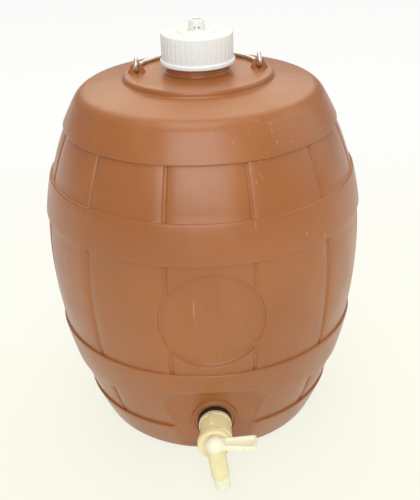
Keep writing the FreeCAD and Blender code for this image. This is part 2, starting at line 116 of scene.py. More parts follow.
def rod(radius, length, sides, turn, place):
    deselect()
    bpy.ops.mesh.primitive_cylinder_add(vertices=sides, radius=radius * mm, depth=length * mm)
    return setDown(bpy.context.object, turn, place)


def block(place):  # six flat sides; place gives a corner in mm from the signs of its x, y and z
    deselect()
    bpy.ops.mesh.primitive_cube_add(size=2 * mm, location=(0, 0, 0))
    piece = bpy.context.object
    for vertex in piece.data.vertices:
        vertex.co = Vector(place(*(math.copysign(1, value) for value in vertex.co))) * mm
    return piece


def squareBar(half, low, high):
    return block(lambda x, y, z: (half * x, half * y, high if z > 0 else low))


def combine(piece, tool, operation):
    pickOnly(piece)
    step = piece.modifiers.new("fit", "BOOLEAN")
    step.operation = operation
    step.solver = "EXACT"
    step.object = tool
    bpy.ops.object.modifier_apply(modifier=step.name)
    bpy.data.objects.remove(tool, do_unlink=True)
    return piece


def bevelEdges(piece, width, segments=3, angle=40):
    step = piece.modifiers.new("edges", "BEVEL")
    step.width = width * mm
    step.segments = segments
    step.limit_method = "ANGLE"
    step.angle_limit = math.radians(angle)
    pickOnly(piece)
    bpy.ops.object.modifier_apply(modifier=step.name)
    return piece


def editParts(piece, kind, wanted):  # opens a piece with the wanted vertices or faces picked
    pickOnly(piece)
    bpy.ops.object.mode_set(mode="EDIT")
    bpy.ops.mesh.select_mode(type=kind)
    bpy.ops.mesh.select_all(action="DESELECT")
    bpy.ops.object.mode_set(mode="OBJECT")
    for part in piece.data.vertices if kind == "VERT" else piece.data.polygons:
        part.select = wanted(part)
    bpy.ops.object.mode_set(mode="EDIT")


def endEdit():
    bpy.ops.mesh.select_mode(type="VERT")
    bpy.ops.object.mode_set(mode="OBJECT")


def smooth(piece, angle=35):
    pickOnly(piece)
    bpy.ops.object.shade_smooth_by_angle(angle=math.radians(angle))
    return piece


def corner(a, b, c, count):  # a rounded corner from a to c that turns at b
    points = []
    for k in range(count + 1):
        t = k / count
        w0, w1, w2 = (1 - t) ** 2, 1.5 * t * (1 - t), t ** 2
        total = w0 + w1 + w2
        points.append(tuple((w0 * a[i] + w1 * b[i] + w2 * c[i]) / total for i in (0, 1)))
    return points


def bend(at, before, after, count):  # the same, with its ends given as steps away from the corner
    return corner((at[0] + before[0], at[1] + before[1]), at, (at[0] + after[0], at[1] + after[1]), count)


def levels(low, high, step):  # even heights from low up to high
    count = max(1, round((high - low) / step))
    return [low + (high - low) * k / count for k in range(count + 1)]


def limited(value):
    return min(max(value, 0), 1)


def swell(vertex, scale):  # moves a vertex away from the Z axis, or towards it
    vertex.co.x *= scale
    vertex.co.y *= scale


# The barrel: its curve, hoops, staves, medallion, tap pocket, pad, neck and ears

barrel = {
    "bellyRadius": 165.5,
    "bellyHeight": 212.0,
    "upperCurve": 300.0,
    "lowerCurve": 480.0,
    "wall": 4.0,
    "hoopProud": 2.5,
    "hoopRound": 1.8,
    "hoopRoot": 0.6,
    "baseHoopTop": 43.0,
    "lowerHoop": (82.5, 127.0),
    "middleHoop": (250.0, 290.0),
    "shoulderBottom": 338.5,
    "domeHeight": 380.5,
    "domeSlope": 9.5,
    "domeStart": 75.0,
    "domeRings": (102, 88),
    "shoulderReach": 8.2,
    "footRound": 9.0,
    "footInner": 97.0,
    "footRise": 10,
    "pushRadius": 84.0,
    "pushHeight": 9.0,
    "pushRing": 40,
    "padRadius": 75.5,
    "padTop": 386.5,
    "padRound": 3.2,
    "padFootReach": 2.4,
    "padFootRise": 1.8,
    "padRings": (60, 46),
    "neckCore": 31.5,
    "neckBore": 26.5,
    "neckTop": 419.5,
    "staves": 12,
    "grooveDepth": 1.8,
    "grooveFade": 6,
    "rowStep": 8.0,
}
# how deep a groove is, as a share of its depth, at each angle from its middle in degrees
grooveShape = {-1.3: 0.0, -0.85: 0.22, -0.45: 0.9, 0.0: 1.0, 0.45: 0.9, 0.85: 0.22, 1.3: 0.0}
staveColumns = 8


def bellyRadius(height, grow=0.0):
    curve = barrel["upperCurve"] if height > barrel["bellyHeight"] else barrel["lowerCurve"]
    drop = curve - math.sqrt(curve ** 2 - (height - barrel["bellyHeight"]) ** 2)
    return barrel["bellyRadius"] - drop + grow


def sideRows(low, high, grow):
    return [(bellyRadius(height, grow), height) for height in levels(low, high, barrel["rowStep"])]


def hoopStart(height):  # up onto a hoop, with a small root and a rounded edge
    low = bellyRadius(height)
    root, edge, proud = barrel["hoopRoot"], barrel["hoopRound"], barrel["hoopProud"]
    inner = bend((low, height), (0, -root), (root, 0), 3)
    return inner + corner((low + proud - edge, height), (low + proud, height),
                          (bellyRadius(height + edge, proud), height + edge), 5)


def hoopEnd(height):
    low = bellyRadius(height)
    root, edge, proud = barrel["hoopRoot"], barrel["hoopRound"], barrel["hoopProud"]
    outer = corner((bellyRadius(height - edge, proud), height - edge), (low + proud, height),
                   (low + proud - edge, height), 5)
    return outer + corner((low + root, height), (low, height), (bellyRadius(height + root), height + root), 3)


def domeLevel(radius, grow):
    fall = (radius - barrel["domeStart"]) * math.tan(math.radians(barrel["domeSlope"]))
    return barrel["domeHeight"] - fall + grow - barrel["hoopProud"]


def shoulderRows(grow, start):  # side, rounded shoulder and dome, up to the pad
    height = barrel["domeHeight"]
    for _ in range(30):  # settles where the side's curve meets the dome's slope
        height = domeLevel(bellyRadius(height, grow), grow)
    turn = (bellyRadius(height, grow), height)
    reach = barrel["shoulderReach"]
    below = (bellyRadius(height - reach, grow), height - reach)
    beyond = (turn[0] - reach, domeLevel(turn[0] - reach, grow))
    return sideRows(start, below[1], grow)[:-1] + corner(below, turn, beyond, 10)


def barrelProfile():
    proud, edge, root = barrel["hoopProud"], barrel["hoopRound"], barrel["hoopRoot"]
    push, rise, foot = barrel["pushRadius"], barrel["pushHeight"], barrel["footInner"]
    footOut, footRound = bellyRadius(0, proud), barrel["footRound"]
    points = [(0, rise), (barrel["pushRing"], rise)]
    points += bend((push, rise), (-4, 0), (3, -2), 4)
    points += bend((foot, 0), (-3, 2), (3, 0), 4)
    points += corner((footOut - footRound, 0), (footOut, 0), (bellyRadius(footRound, proud), footRound), 8)
    below = barrel["baseHoopTop"]
    points += sideRows(footRound + 4, below - edge, proud)[:-1] + hoopEnd(below)
    for low, high in (barrel["lowerHoop"], barrel["middleHoop"]):
        points += sideRows(below + root, low - root, 0)[1:-1] + hoopStart(low)
        points += sideRows(low + edge, high - edge, proud)[1:-1] + hoopEnd(high)
        below = high
    shoulder = barrel["shoulderBottom"]
    points += sideRows(below + root, shoulder - root, 0)[1:-1] + hoopStart(shoulder)
    points += shoulderRows(proud, shoulder + edge)[1:]
    points += [(radius, domeLevel(radius, proud)) for radius in barrel["domeRings"]]
    pad, padTop, padRound = barrel["padRadius"], barrel["padTop"], barrel["padRound"]
    padFoot, outside = domeLevel(pad, proud), pad + barrel["padFootReach"]
    points += corner((outside, domeLevel(outside, proud)), (pad, padFoot),
                     (pad, padFoot + barrel["padFootRise"]), 5)
    points += bend((pad, padTop), (0, -padRound), (-padRound, 0), 6)
    points += [(radius, padTop) for radius in barrel["padRings"]]
    neck, top = barrel["neckCore"], barrel["neckTop"]
    points += bend((neck, padTop), (1.5, 0), (0, 1.5), 4) + bend((neck, top), (0, -1), (-1, 0), 3)
    return points + [(barrel["neckBore"] + 1, top), (0, top)]


def insideProfile():
    proud, wall, bore = barrel["hoopProud"], barrel["wall"], barrel["neckBore"]
    under, ceiling = barrel["padRadius"] - 2 * wall, barrel["padTop"] - wall
    rise, neckTop = barrel["pushHeight"] + wall, barrel["neckTop"]
    height, grow = barrel["footRise"], proud - wall
    points = [(0, rise), (barrel["pushRadius"] + wall, rise), (barrel["footInner"] + wall, wall)]
    points += [(bellyRadius(6, grow) - 6, wall), (bellyRadius(height, grow), height)]
    edges = (barrel["baseHoopTop"], *barrel["lowerHoop"], *barrel["middleHoop"], barrel["shoulderBottom"])
    for k, edge in enumerate(edges):  # a hoop ends at each even edge and starts at each odd one
        stop = edge + wall if k % 2 else edge - wall
        points += sideRows(height + 4, stop, grow)
        grow = proud - wall if k % 2 else -wall
        points.append((bellyRadius(stop, grow), stop))
        height = stop
    points += shoulderRows(grow, height + 4)
    points += [(under, domeLevel(under, grow)), (under, ceiling), (bore + 1, ceiling), (bore, ceiling + 1)]
    points += bend((bore, neckTop), (0, -1), (1, 0.01), 3)
    return points + [(bore + 1, neckTop + 5), (0, neckTop + 5)]


def grooveAngles():
    pitch = 360 / barrel["staves"]
    first, last = max(grooveShape), pitch - max(grooveShape)
    angles = []
    for k in range(barrel["staves"]):
        centre = pitch / 2 + pitch * k
        angles += [centre + offset for offset in grooveShape]
        for step in range(1, staveColumns):
            angles.append(centre + first + (last - first) * step / staveColumns)
    return angles


def sinkGrooves(piece):
    pitch = 360 / barrel["staves"]
    low, mid = barrel["lowerHoop"], barrel["middleHoop"]
    spans = ((barrel["baseHoopTop"], low[0]), (low[1], mid[0]), (mid[1], barrel["shoulderBottom"]))
    for vertex in piece.data.vertices:
        height = vertex.co.z / mm
        if not any(start - 0.01 <= height <= end + 0.01 for start, end in spans):
            continue
        radius = math.hypot(vertex.co.x, vertex.co.y) / mm
        if abs(radius - bellyRadius(height)) > 0.3 * barrel["hoopProud"]:
            continue
        angle = math.degrees(math.atan2(vertex.co.y, vertex.co.x)) % pitch - pitch / 2
        near = min(grooveShape, key=lambda offset: abs(offset - angle))
        if abs(near - angle) > 0.05:
            continue
        depth = barrel["grooveDepth"] * grooveShape[near]
        if vertex.co.y < 0 and height < pocket["top"]:  # the grooves run out at the tap pocket
            depth *= limited(-pocketReach(vertex.co.x / mm, height) / barrel["grooveFade"])
        swell(vertex, (radius - depth) / radius)


medallion = {
    "height": 189.0,
    "radius": 52.5,
    "depth": 1.9,
    "step": 3.0,
    "stepDepth": 3.0,
    "edge": 1.3,
    "rings": (0, 12, 24, 34, 42),
    "above": 4,
}


def cutMedallion(piece):  # a shallow turned cutter, laid round the belly so that its depth is even
    outer, inner = medallion["radius"], medallion["radius"] - medallion["step"]
    depth, stepDepth, edge = medallion["depth"], medallion["stepDepth"], medallion["edge"]
    points = [(radius, -stepDepth) for radius in medallion["rings"]]
    points += corner((inner - 2, -stepDepth), (inner, -stepDepth), (inner + 0.3, -depth), 4)
    points += bend((outer, -depth), (-0.8, 0), (0.1, 0.7), 4)
    points += corner((outer + 0.1, -edge * 0.8), (outer + 0.2, 0), (outer + 0.2 + edge, 0.1), 5)
    points += [(outer + 0.4 + edge, medallion["above"])]
    points += [(radius, medallion["above"]) for radius in reversed(medallion["rings"])]
    cutter = turned("medallionCutter", points, 144)
    for vertex in cutter.data.vertices:
        across, up, out = vertex.co.x / mm, vertex.co.y / mm + medallion["height"], vertex.co.z / mm
        radius = bellyRadius(up) + out
        turn = across / barrel["bellyRadius"]
        vertex.co = Vector((radius * math.sin(turn), -radius * math.cos(turn), up)) * mm
    pickOnly(cutter)
    bpy.ops.object.mode_set(mode="EDIT")
    faceOutwards()
    combine(piece, cutter, "DIFFERENCE")


pocket = {
    "top": 96.5,
    "bottom": 6.0,
    "topHalf": 54.5,
    "bottomHalf": 33.0,
    "corner": 19.0,
    "faceDepth": 141.0,
    "tilt": 9.8,
    "round": 6.5,
    "front": -100,
    "fineHalf": 66,
    "pressedHalf": 70,
    "over": 12,
    "fade": 4,
    "fadeBottom": 10,
    "fadeRise": 6,
    "wallStart": 2.2,
    "seatRadius": 23.3,
    "seatFace": 139.0,
    "seatRound": 1.2,
    "seatDepth": 14,
    "seatFlare": 1.6,
    "tapHeight": 57.0,
    "holeRadius": 13.0,
    "seatWall": 5.0,
    "spotRadius": 21.0,
    "blend": 9.5,
    "slope": 2.1,
    "innerSlack": 4.5,
    "cuts": 6,
    "softening": 7,
}


def softMin(a, b, size):
    h = max(size - abs(a - b), 0) / size
    return min(a, b) - h * h * size / 4


def softMax(a, b, size):
    return -softMin(-a, -b, size)


def pocketFace(height):
    tilt = math.tan(math.radians(pocket["tilt"]))
    return pocket["faceDepth"] + (height - pocket["top"]) * tilt


def pocketReach(across, height):  # how far a point on the front lies inside the scoop's outline
    share = (height - pocket["bottom"]) / (pocket["top"] - pocket["bottom"])
    half = pocket["bottomHalf"] + (pocket["topHalf"] - pocket["bottomHalf"]) * share
    side = (half - abs(across)) * 0.97
    over = pocket["top"] - height
    size = pocket["corner"]
    if side < size and over < size:
        return size - math.hypot(size - side, size - over)
    return min(side, over)


def inFineFront(face):
    x, y, z = face.center / mm
    high = barrel["lowerHoop"][1] - barrel["hoopRound"] - 8
    inside = abs(x) < pocket["fineHalf"] and y < pocket["front"] and 0.3 < z < high
    return inside and abs(face.normal.z) < 0.97


def inSoftPocket(vertex):
    x, y, z = vertex.co / mm
    return y < pocket["front"] and 8 < z < pocket["top"] + 4 and pocketReach(x, z) > -3


def pressPocket(piece):
    editParts(piece, "FACE", inFineFront)  # a close grid where the tap pocket and its seat go
    bpy.ops.mesh.subdivide(number_cuts=pocket["cuts"])
    endEdit()
    rise, fade = pocket["slope"], pocket["fade"]
    for vertex in piece.data.vertices:
        x, y, z = vertex.co / mm
        if y > pocket["front"] or abs(x) > pocket["pressedHalf"]:
            continue
        if not -1 <= z <= pocket["top"] + pocket["over"] or math.hypot(x, y) < barrel["footInner"] + 4:
            continue
        reach = pocketReach(x, z)
        even = bellyRadius(max(z, 1), 0.5 * barrel["hoopProud"])
        settled = limited((reach + fade) / (2 * fade))
        settled *= limited((z - pocket["fadeBottom"]) / pocket["fadeRise"])
        y += (-math.sqrt(even ** 2 - x ** 2) - y) * settled  # the hoops fade out towards the pocket
        face = pocketFace(z)
        wallDepth = face - rise * reach + rise * pocket["wallStart"]
        scoop = softMax(face, wallDepth, pocket["round"])  # the face, and the walls that rise round it
        vertex.co.y = -softMin(-y, scoop, pocket["blend"]) * mm
    editParts(piece, "VERT", inSoftPocket)
    bpy.ops.mesh.vertices_smooth(factor=0.5, repeat=pocket["softening"])
    endEdit()


def makeSeat():
    radius, edge, flare = pocket["seatRadius"], pocket["seatRound"], pocket["seatFlare"]
    depth = pocket["seatDepth"]
    profile = [(0, 0), (radius + flare, 0), (radius + flare, depth - 8)]
    profile += corner((radius + flare * 0.3, depth - 6), (radius, depth - 5), (radius, depth - 3), 4)
    profile += bend((radius, depth), (0, -edge), (-edge, 0), 5)
    profile += [(21.2, depth), (20.6, depth - 0.5), (20.0, depth), (0, depth)]  # a fine ring on its face
    return setDown(turned("seat", profile, 128), lying, (0, depth - pocket["seatFace"], pocket["tapHeight"]))


def makeDisc(radius, start, end):  # a plain core along Y at the tap's height
    return rod(radius, abs(end - start), 96, lying, (0, (start + end) / 2, pocket["tapHeight"]))


def makeScoop(grow):  # the scoop's outline as a plain block, for the inner wall
    def place(x, y, z):
        half = (pocket["topHalf"] if z > 0 else pocket["bottomHalf"]) + grow - pocket["innerSlack"]
        height = pocket["top"] + grow if z > 0 else pocket["bottom"] - 3 * grow
        depth = pocketFace(height) - grow if y > 0 else barrel["bellyRadius"] + 20
        return half * x, -depth, height

    return block(place)


ears = {
    "place": 61.3,
    "baseHalf": 10.0,
    "topHalf": 4.2,
    "top": 396.2,
    "thick": 5.0,
    "round": 2.0,
    "edge": 0.7,
    "holeRadius": 3.3,
    "holeHeight": 389.7,
}


def addEar(piece, side):
    def place(x, y, z):
        half = ears["topHalf"] if z > 0 else ears["baseHalf"]
        height = ears["top"] if z > 0 else barrel["padTop"] - 1.5
        return side * ears["place"] + half * x, ears["thick"] / 2 * y, height

    ear = block(place)
    bpy.ops.object.mode_set(mode="EDIT")
    bpy.ops.mesh.select_all(action="SELECT")
    bpy.ops.mesh.bevel(offset=ears["round"] * mm, segments=5, affect="EDGES")
    bpy.ops.object.mode_set(mode="OBJECT")
    eye = rod(ears["holeRadius"], 20, 40, lying, (side * ears["place"], 0, ears["holeHeight"]))
    combine(ear, eye, "DIFFERENCE")
    combine(piece, bevelEdges(ear, ears["edge"], 3, 50), "UNION")


def makeInside():
    inside = turned("inside", insideProfile(), 120)
    combine(inside, makeScoop(barrel["wall"]), "DIFFERENCE")
    seatBack = pocket["seatFace"] - pocket["seatWall"]
    combine(inside, makeDisc(pocket["seatRadius"], -seatBack - 30, -seatBack), "DIFFERENCE")
    return combine(inside, makeDisc(pocket["spotRadius"], -seatBack, -seatBack + 20), "UNION")


def makeBarrel():
    piece = turnedColumns("barrelBody", barrelProfile(), grooveAngles())
    sinkGrooves(piece)
    pressPocket(piece)
    cutMedallion(piece)
    combine(piece, makeSeat(), "UNION")
    for side in (-1, 1):
        addEar(piece, side)
    combine(piece, makeInside(), "DIFFERENCE")
    combine(piece, makeDisc(pocket["holeRadius"], -pocket["seatFace"] - 10, -120), "DIFFERENCE")
    smooth(piece, 32)
    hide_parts("barrel_shell", "barrel_base", "neck_pad")
    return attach(piece, "barrel")


barrelBody = makeBarrel()
print("barrel modelled", len(barrelBody.data.polygons))


# The screw cap, with its grip ribs

screwCap = {
    "bottom": 395.0,
    "top": 425.0,
    "radius": 35.6,
    "skirt": 2.3,
    "flangeRadius": 37.4,
    "flangeHeight": 4.0,
    "lid": 3.0,
    "round": 1.6,
    "rings": (10, 16, 22),
    "ribs": 40,
    "ribHalf": 1.1,
    "ribProud": 0.26,
    "bossRadius": 19.5,
    "bossHeight": 1.5,
    "holeRadius": 5.7,
}


def raiseRibs(piece, low, high, half):
    radius, pitch = screwCap["radius"], 360 / screwCap["ribs"]
    for vertex in piece.data.vertices:
        height = vertex.co.z / mm
        reach = math.hypot(vertex.co.x, vertex.co.y) / mm
        if not low < height < high or abs(reach - radius) > 0.05:
            continue
        angle = (math.degrees(math.atan2(vertex.co.y, vertex.co.x)) + half) % pitch - half
        if abs(angle) > half * 0.9:
            continue
        rise = screwCap["ribProud"] * (1.0 if abs(angle) < half * 0.4 else 0.72)
        rise *= 0.6 if height > high - 0.5 else 1.0
        swell(vertex, (reach + rise) / reach)


def makeCap():
    cap = screwCap
    bottom, top, radius, flange = cap["bottom"], cap["top"], cap["radius"], cap["flangeRadius"]
    ceiling, inner, shelf = top - cap["lid"], radius - cap["skirt"], bottom + cap["flangeHeight"]
    boss, crown = cap["bossRadius"], top + cap["bossHeight"]
    hole, edge = cap["holeRadius"], cap["round"]
    points = [(hole, ceiling), (18, ceiling), (inner - 1, ceiling), (inner, ceiling - 1), (inner, bottom + 1)]
    points += bend((inner, bottom), (0, 0.6), (0.6, 0), 3)
    points += bend((flange, bottom), (-0.7, 0), (0, 0.7), 4) + bend((flange, shelf), (0, -1.2), (-1.0, 0), 4)
    points += bend((radius, shelf), (0.4, 0), (0, 0.5), 3) + [(radius, shelf + 1.2)]
    points += [(radius, bottom + ring) for ring in cap["rings"]]
    points += [(radius, top - edge - 1.6), (radius, top - edge - 0.9)]
    points += bend((radius, top), (0, -edge), (-edge, 0), 6) + [(28, top)]
    points += bend((boss, top), (0.6, 0), (0, 0.5), 3) + bend((boss, crown), (0, -0.6), (-0.6, 0), 4)
    points += [(12, crown), (hole + 0.3, crown), (hole, crown - 0.3)]
    half = math.degrees(cap["ribHalf"] / radius)
    offsets = [half * share for share in (-1, -0.62, -0.25, 0.25, 0.62, 1)]
    angles = [360 / cap["ribs"] * k + offset for k in range(cap["ribs"]) for offset in offsets]
    piece = turnedColumns("capMoulding", points, angles)
    raiseRibs(piece, shelf + 0.9, top - edge - 0.8, half)
    smooth(piece, 40)
    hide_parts("screw_cap")
    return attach(piece, "cap")


capMoulding = makeCap()
print("cap modelled")


# The gas valve: a threaded post with its socket and gas holes

valvePost = {
    "radius": 8.0,
    "base": 428.0,
    "height": 9.0,
    "bevel": 1.0,
    "stemRadius": 5.5,
    "stemLength": 28.0,
    "socketRadius": 4.6,
    "socketDepth": 6.0,
    "gasBore": 1.5,
    "holeRadius": 0.9,
    "holeRise": 1.8,
    "holeApart": 4.0,
    "pitch": 1.6,
    "thread": 0.35,
}


def cutThread(piece, radius, low, high, pitch, proud, fade):  # a thread raised from a plain round wall
    for vertex in piece.data.vertices:
        height = vertex.co.z / mm
        reach = math.hypot(vertex.co.x, vertex.co.y) / mm
        if abs(reach - radius) > 0.05 or not low < height < high:
            continue
        turn = math.atan2(vertex.co.y, vertex.co.x) / (2 * math.pi)
        phase = ((height - low) / pitch - turn) % 1.0
        crest = max(0.0, 1 - abs(phase - 0.5) * 3.2)
        ends = min(1.0, (height - low) / fade, (high - height) / fade)
        swell(vertex, (reach + proud * ends * min(1.0, crest * 1.6)) / reach)


def makeValve():
    post = valvePost
    base, top, outer = post["base"], post["base"] + post["height"], post["radius"]
    radius, bevel, stem = outer - post["thread"], post["bevel"], post["stemRadius"]
    bore, socket, floor = post["gasBore"], post["socketRadius"], top - post["socketDepth"]
    foot = base - post["stemLength"]
    points = [(bore, foot), (stem - 0.5, foot), (stem, foot + 0.5)]
    points += [(stem, z) for z in levels(foot + 2, base - 0.6, 4)]
    points += [(outer - 0.3, base), (outer, base + 0.3), (outer, base + 1.0), (radius, base + 1.3)]
    points += [(radius, z) for z in levels(base + 1.5, top - bevel, 0.2)]
    points += corner((radius, top - bevel * 0.7), (radius - 0.2, top), (radius - bevel, top), 4)
    points += bend((socket, top), (0.4, 0), (0, -0.4), 3) + [(socket, floor), (bore, floor)]
    piece = turned("gasPost", points)
    cutThread(piece, radius, base + 1.4, top - bevel, post["pitch"], post["thread"], 0.8)
    for side in (-1, 1):
        place = (side * post["holeApart"] / 2, -7, base + post["holeRise"])
        combine(piece, rod(post["holeRadius"], 8, 24, lying, place), "DIFFERENCE")
    smooth(piece, 40)
    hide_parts("valve_body")
    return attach(piece, "cap")


gasPost = makeValve()
print("valve modelled")


# The wire bail, bent round the bar above each ear's hole

bail = {
    "radius": 2.1,
    "pivot": 394.4,
    "hookRadius": 5.5,
    "hookSweep": 205.0,
    "hookStep": 8,
    "earPlace": 61.3,
    "sideRadius": 50.0,
    "sideAngle": 45.0,
    "arm": 4.0,
    "arcSteps": 10,
    "endRound": 0.5,
}


def bailLine():  # half the wire's centre line, from the middle of the bow to the hook's end
    hook, side, ear, steps = bail["hookRadius"], bail["sideRadius"], bail["earPlace"], bail["arcSteps"]
    level, turn = bail["pivot"] - hook, math.radians(bail["sideAngle"])
    sideCentre = ear - side
    crownCentre = bail["arm"] - sideCentre * math.tan(turn)
    crown = side + sideCentre / math.cos(turn)
    points = []
    for k in range(steps):
        angle = math.pi / 2 + (turn - math.pi / 2) * k / steps
        points.append((crown * math.cos(angle), crownCentre + crown * math.sin(angle), level))
    for k in range(steps):
        angle = turn * (1 - k / steps)
        points.append((sideCentre + side * math.cos(angle), bail["arm"] + side * math.sin(angle), level))
    points += [(ear, bail["arm"], level), (ear, bail["arm"] / 2, level)]
    count = round(bail["hookSweep"] / bail["hookStep"])
    for k in range(count + 1):
        angle = math.radians(bail["hookSweep"] * k / count)
        points.append((ear, -hook * math.sin(angle), bail["pivot"] - hook * math.cos(angle)))
    return points


def makeBail():
    half = bailLine()
    drawPath("bailWire", [(-x, y, z) for x, y, z in half[:0:-1]] + half)
    bpy.ops.object.mode_set(mode="OBJECT")
    bpy.ops.object.convert(target="CURVE")
    curve = bpy.context.object.data
    curve.bevel_depth = bail["radius"] * mm
    curve.bevel_resolution = 8
    curve.use_fill_caps = True
    bpy.ops.object.convert(target="MESH")
    wire = bevelEdges(bpy.context.object, bail["endRound"], 3, 60)
    smooth(wire, 50)
    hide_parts("bail_handle")
    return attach(wire, "bail")


bailWire = makeBail()
print("bail modelled", len(bailWire.data.polygons))


# The tap: moulded body, rubber washer, lever and turning plug with its spout

tap = {
    "height": 57.0,
    "seat": 139.0,
    "washerRadius": 17.6,
    "washerThick": 6.0,
    "washerRound": 0.9,
    "tailRadius": 12.6,
    "tailLength": 26.0,
    "tailThreadEnd": -9.5,
    "tailPitch": 2.0,
    "tailThread": 0.5,
    "flangeRadius": 16.8,
    "flangeLength": 5.0,
    "shankRadius": 16.1,
    "shankLength": 25.0,
    "noseRadius": 17.0,
    "noseLength": 10.0,
    "noseShift": -2.5,
    "noseRound": 3.0,
    "linkRadius": 7.8,
    "bore": 6.5,
    "portRadius": 3.6,
    "ribWidth": 5.0,
    "ribRise": 1.3,
    "ribLength": 20.0,
    "ribTurn": 15.0,
}
cock = {
    "lean": 7.0,
    "shift": -1.0,
    "distance": 192.5,
    "sleeveRadius": 9.2,
    "sleeveUp": 8.0,
    "sleeveDown": 26.0,
    "plugRadius": 6.2,
    "plugGap": 0.08,
    "float": 0.25,
    "grooves": (6.5, -8.0),
    "grooveHalf": 0.65,
    "grooveDepth": 1.3,
    "plugBore": 4.2,
    "boreTop": 4.6,
    "spoutRadius": 8.2,
    "spoutLength": 17.0,
    "square": 7.0,
    "squareHeight": 6.0,
    "squareGap": 0.02,
    "closedTurn": 80.0,
}
lever = {
    "swing": -10.0,
    "hubRadius": 9.1,
    "hubHeight": 7.0,
    "dome": 5.6,
    "domeSteps": 12,
    "reach": 41.0,
    "rootWidth": 10.5,
    "endWidth": 18.5,
    "thick": 6.0,
    "rise": 1.3,
    "corner": 4.0,
    "rim": 1.7,
    "trayDepth": 2.2,
}


def alongTap(piece, across=0.0):  # from about Z, with z = 0 at the seat, to out along the tap's way
    return setDown(piece, lying, (across, -tap["seat"], tap["height"]))


def leaned(degrees):
    return Matrix.Rotation(math.radians(-degrees), 3, "Y").to_euler()


def onCock(piece):
    return setDown(piece, leaned(cock["lean"]), (cock["shift"], -cock["distance"], tap["height"]))


def makeTapBody():
    washer, bore, tail, rim = tap["washerThick"], tap["bore"], tap["tailRadius"], tap["flangeRadius"]
    shank, flangeEnd, shankEnd = tap["shankRadius"], washer + tap["flangeLength"], washer + tap["shankLength"]
    inward, threadEnd = washer - tap["tailLength"], tap["tailThreadEnd"]
    points = [(bore, inward), (tail - 1.0, inward), (tail, inward + 1.0)]
    points += [(tail, z) for z in levels(inward + 1.2, threadEnd, 0.3)] + [(tail, washer)]
    points += bend((rim, washer), (-0.6, 0), (0, 0.6), 3)
    points += corner((rim, flangeEnd - 0.8), (rim, flangeEnd), (shank + 0.1, flangeEnd), 4)
    points += [(shank, flangeEnd + 0.6)]
    points += [(shank, z) for z in levels(flangeEnd + 3, shankEnd + 2, 4)]
    body = turned("tapMoulding", points + [(0, shankEnd + 2), (0, shankEnd), (bore, shankEnd)])
    cutThread(body, tail, inward + 1.1, threadEnd + 0.1, tap["tailPitch"], -tap["tailThread"], 1.0)
    alongTap(body)
    combine(body, makeNose(shankEnd, shankEnd + tap["noseLength"]), "UNION")
    combine(body, makeLink(shankEnd + tap["noseLength"]), "UNION")
    combine(body, makeSleeve(), "UNION")
    plug, down, up = cock["plugRadius"], -cock["sleeveDown"] - 2, cock["sleeveUp"] + 2
    combine(body, onCock(turned("bore", [(0, down), (plug, down), (plug, up), (0, up)], 64)), "DIFFERENCE")
    start, end, port = shankEnd - 1, cock["distance"] - tap["seat"], tap["portRadius"]
    way = turned("port", [(0, start), (port, start), (port, end), (0, end)], 40)
    combine(body, alongTap(way, cock["shift"] / 2), "DIFFERENCE")
    combine(body, makeRib(), "UNION")
    smooth(body, 40)
    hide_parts("tap_body")
    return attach(body, "barrel")


def makeNose(start, end):
    nose, edge = tap["noseRadius"], tap["noseRound"]
    points = [(0, start)] + bend((nose, start), (-edge, 0), (0, edge), 6)
    points += bend((nose, end), (0, -edge), (-edge, 0), 6) + [(0, end)]
    return alongTap(turned("nose", points), tap["noseShift"])


def makeLink(end):  # from the nose to the sleeve
    link, reach = tap["linkRadius"], cock["distance"] - tap["seat"]
    points = [(0, end - 2), (link + 1.4, end - 2), (link + 1.4, end - 0.1)]
    points += bend((link, end), (1.3, 0), (0, 1.2), 4) + [(link, reach), (0, reach)]
    return alongTap(turned("link", points, 64), cock["shift"] / 2)


def makeSleeve():
    up, down, radius = cock["sleeveUp"], cock["sleeveDown"], cock["sleeveRadius"]
    points = [(0, -down)] + bend((radius, -down), (-0.6, 0), (0, 0.6), 3)
    points += [(radius, z) for z in levels(-down + 3, up - 3, 4)]
    points += bend((radius, up), (0, -0.6), (-0.6, 0), 3) + [(0, up)]
    return onCock(turned("sleeve", points, 80))


def makeRib():
    start = tap["seat"] + tap["washerThick"]
    shank = tap["shankRadius"]

    def place(x, y, z):
        depth = start + 0.4 if y > 0 else start + tap["ribLength"]
        top = shank + tap["ribRise"] if y > 0 else shank + tap["ribRise"] - 0.7
        return tap["ribWidth"] / 2 * x, -depth, top if z > 0 else shank - 2

    return setDown(bevelEdges(block(place), 0.6), leaned(tap["ribTurn"]), (0, 0, tap["height"]))


def makeWasher():
    radius, thick, edge = tap["washerRadius"], tap["washerThick"], tap["washerRound"]
    inner = tap["tailRadius"] + 0.15
    points = [(inner, 0)] + bend((radius, 0), (-edge, 0), (0, edge), 4) + [(radius, thick / 2)]
    points += bend((radius, thick), (0, -edge), (-edge, 0), 4) + [(inner, thick)]
    washer = alongTap(turned("tapWasher", points))
    smooth(washer, 40)
    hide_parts("tap_outer_washer")
    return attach(washer, "barrel")


